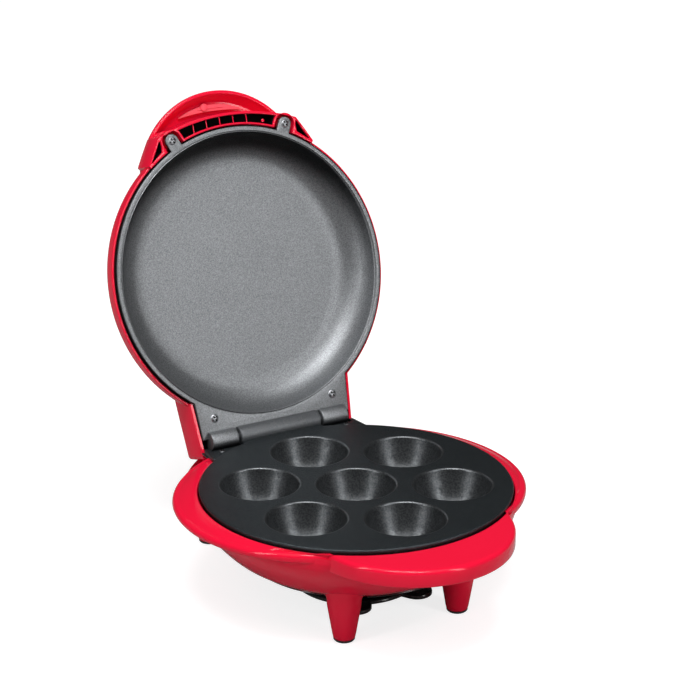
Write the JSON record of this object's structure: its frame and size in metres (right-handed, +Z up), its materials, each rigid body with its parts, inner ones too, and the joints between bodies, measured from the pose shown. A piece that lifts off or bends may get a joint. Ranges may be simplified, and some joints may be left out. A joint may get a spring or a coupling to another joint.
{
  "type": "donut maker",
  "caption": "Countertop baking appliance: petal-shaped base on legs with deep round cups in a coated plate, and a hinged lid with one shallow coated dish and a front lip.",
  "frame": {"origin": "middle of the object's footprint at rest with the lid open, on the surface the feet stand on", "axes": "+Z up, +Y from the front grip towards the hinge, +X to the right as seen by a person standing in front"},
  "size_m": [0.2344, 0.3368, 0.2896],
  "materials": {
    "red_gloss": "glossy moulded heat-resistant plastic",
    "grip_red": "satin moulded plastic",
    "dark_coating": "cast, with a dark non-stick coating",
    "grey_coating": "pressed and cast, with a pale grey speckled non-stick coating",
    "black_plastic": "moulded, slightly glossy",
    "foot_rubber": "matt",
    "screw_zinc": "bright zinc plated",
    "pin_steel": "drawn",
    "heater_sheath": "heat-darkened tubular sheath",
    "shield_sheet": "rolled sheet",
    "ceramic": "unglazed steatite",
    "red_lens": "translucent",
    "green_lens": "translucent"
  },
  "bodies": {
    "base": {"base_housing": "red_gloss", "lower_plate": "dark_coating", "bottom_cover": "black_plastic", "cord_wrap": "black_plastic", "cord_inlet": "black_plastic", "front_left_foot_pad": "foot_rubber", "front_right_foot_pad": "foot_rubber", "rear_left_foot_pad": "foot_rubber", "rear_right_foot_pad": "foot_rubber", "bottom_cover_screw_1": "screw_zinc", "bottom_cover_screw_2": "screw_zinc", "bottom_cover_screw_3": "screw_zinc", "lower_plate_screw_left": "screw_zinc", "lower_plate_screw_right": "screw_zinc", "hinge_pin": "pin_steel", "thermal_fuse": "pin_steel", "lower_heating_element": "heater_sheath", "lower_heat_shield": "shield_sheet", "thermostat": "ceramic", "terminal_block": "ceramic"},
    "lid": {"lid_shell": "red_gloss", "upper_plate": "grey_coating", "handle_liner": "grip_red", "upper_plate_front_screw_left": "screw_zinc", "upper_plate_front_screw_right": "screw_zinc", "upper_plate_rear_screw_left": "screw_zinc", "upper_plate_rear_screw_right": "screw_zinc", "upper_heating_element": "heater_sheath", "upper_heat_shield": "shield_sheet", "power_light_lens": "red_lens", "ready_light_lens": "green_lens", "lamp_holder": "black_plastic"}
  },
  "joints": [
    {"name": "lid_hinge", "type": "hinge", "parent": "base", "child": "lid", "pos_m": [0, 0.07086, 0.0767], "axis": [1, 0, 0], "range_deg": [0, 108.6]}
  ]
}
